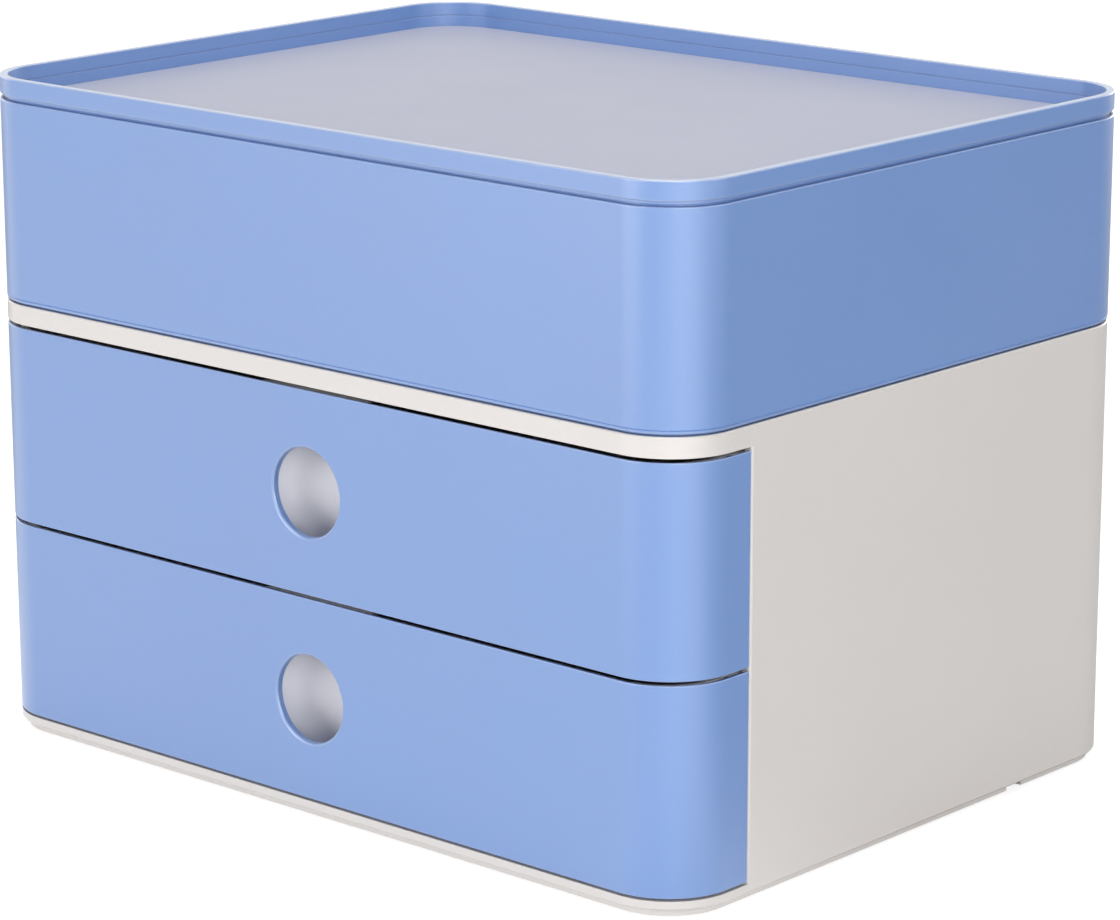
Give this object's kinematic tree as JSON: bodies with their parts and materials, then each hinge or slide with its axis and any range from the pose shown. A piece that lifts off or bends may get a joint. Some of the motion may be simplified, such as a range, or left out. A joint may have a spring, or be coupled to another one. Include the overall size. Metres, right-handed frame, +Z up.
{
  "type": "desk file box with drawers",
  "caption": "Desktop stationery box: white casing with wrap-front blue drawers that slide on runners, and a lift-off utensil box with a tray lid on top.",
  "frame": {"origin": "centre of the footprint on the surface that the box stands on", "axes": "+X along the width, +Y to the back, +Z up; the drawers open towards -Y"},
  "size_m": [0.26, 0.195, 0.19],
  "materials": {
    "casing_white": "smooth moulded plastic with a soft gloss",
    "shell_blue": "smooth moulded plastic with a soft gloss",
    "front_blue": "smooth moulded plastic with a soft gloss",
    "tray_white": "fine-grained moulded plastic",
    "divider_white": "fine-grained moulded plastic",
    "plate_grey": "fine-grained moulded plastic",
    "foot_rubber": "matt rubber"
  },
  "bodies": {
    "casing": {"casing": "casing_white", "foot_front_left": "foot_rubber", "foot_front_right": "foot_rubber", "foot_rear_left": "foot_rubber", "foot_rear_right": "foot_rubber"},
    "lower_drawer": {"lower_drawer_front": "front_blue", "lower_drawer_tray": "tray_white"},
    "upper_drawer": {"upper_drawer_front": "front_blue", "upper_drawer_tray": "tray_white"},
    "utensil_box": {"utensil_box": "shell_blue", "pen_divider": "divider_white", "cross_divider_left": "divider_white", "cross_divider_right": "divider_white"},
    "lid": {"lid_frame": "shell_blue", "lid_plate": "plate_grey"}
  },
  "joints": [
    {"name": "upper_drawer_slide", "type": "slide", "parent": "casing", "child": "upper_drawer", "axis": [0, -1, 0], "range_m": [0, 0.1307]},
    {"name": "lower_drawer_slide", "type": "slide", "parent": "casing", "child": "lower_drawer", "axis": [0, -1, 0], "range_m": [0, 0.1307]},
    {"name": "utensil_box_lift", "type": "slide", "parent": "casing", "child": "utensil_box", "axis": [0, 0, 1], "range_m": [0, 0.04]},
    {"name": "lid_lift", "type": "slide", "parent": "utensil_box", "child": "lid", "axis": [0, 0, 1], "range_m": [0, 0.08]}
  ]
}
